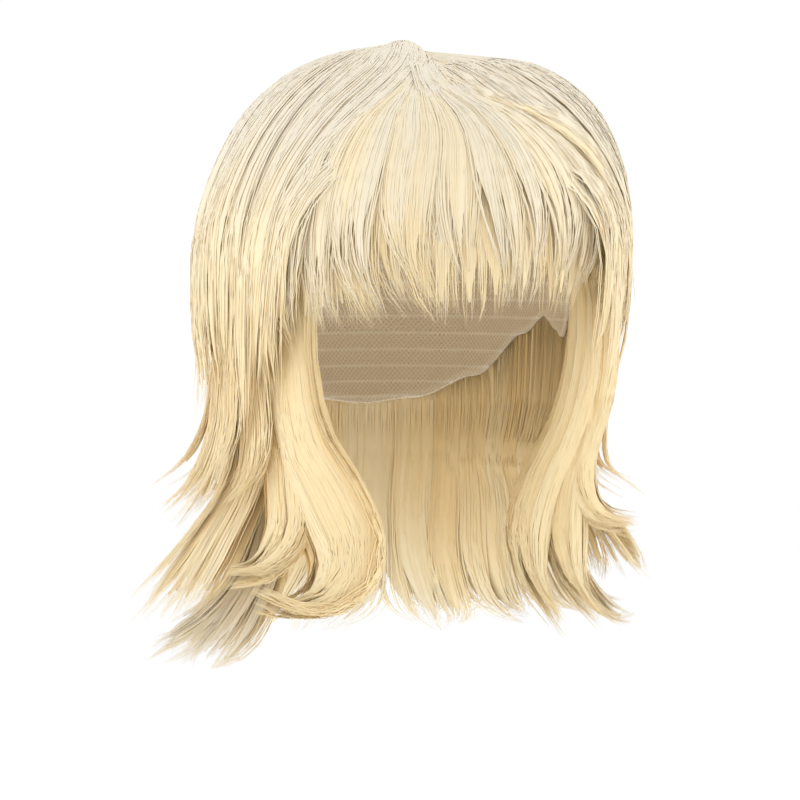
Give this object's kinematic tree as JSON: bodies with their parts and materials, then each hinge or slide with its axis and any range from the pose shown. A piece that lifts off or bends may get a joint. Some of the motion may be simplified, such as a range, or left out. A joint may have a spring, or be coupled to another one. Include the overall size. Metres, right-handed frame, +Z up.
{
  "type": "wig",
  "caption": "Layered pale blonde wig with a full fringe, a back-combed crown and flipped-out ends on a knitted cap that is open below for the head.",
  "frame": {"origin": "the crown of the head, where the inside of the cap rests", "axes": "+Z up, the face looks along -Y, +X is the wearer's left"},
  "size_m": [0.2748, 0.2819, 0.3349],
  "materials": {
    "cap_net": "knitted net, matt",
    "hair": "pale blonde fibre with a soft sheen"
  },
  "bodies": {
    "root": {"wig_cap": "cap_net", "crown_layer": "hair", "middle_layer": "hair", "lower_layer": "hair", "nape_layer": "hair", "fringe": "hair", "face_lock_right": "hair", "face_lock_left": "hair"}
  },
  "joints": []
}
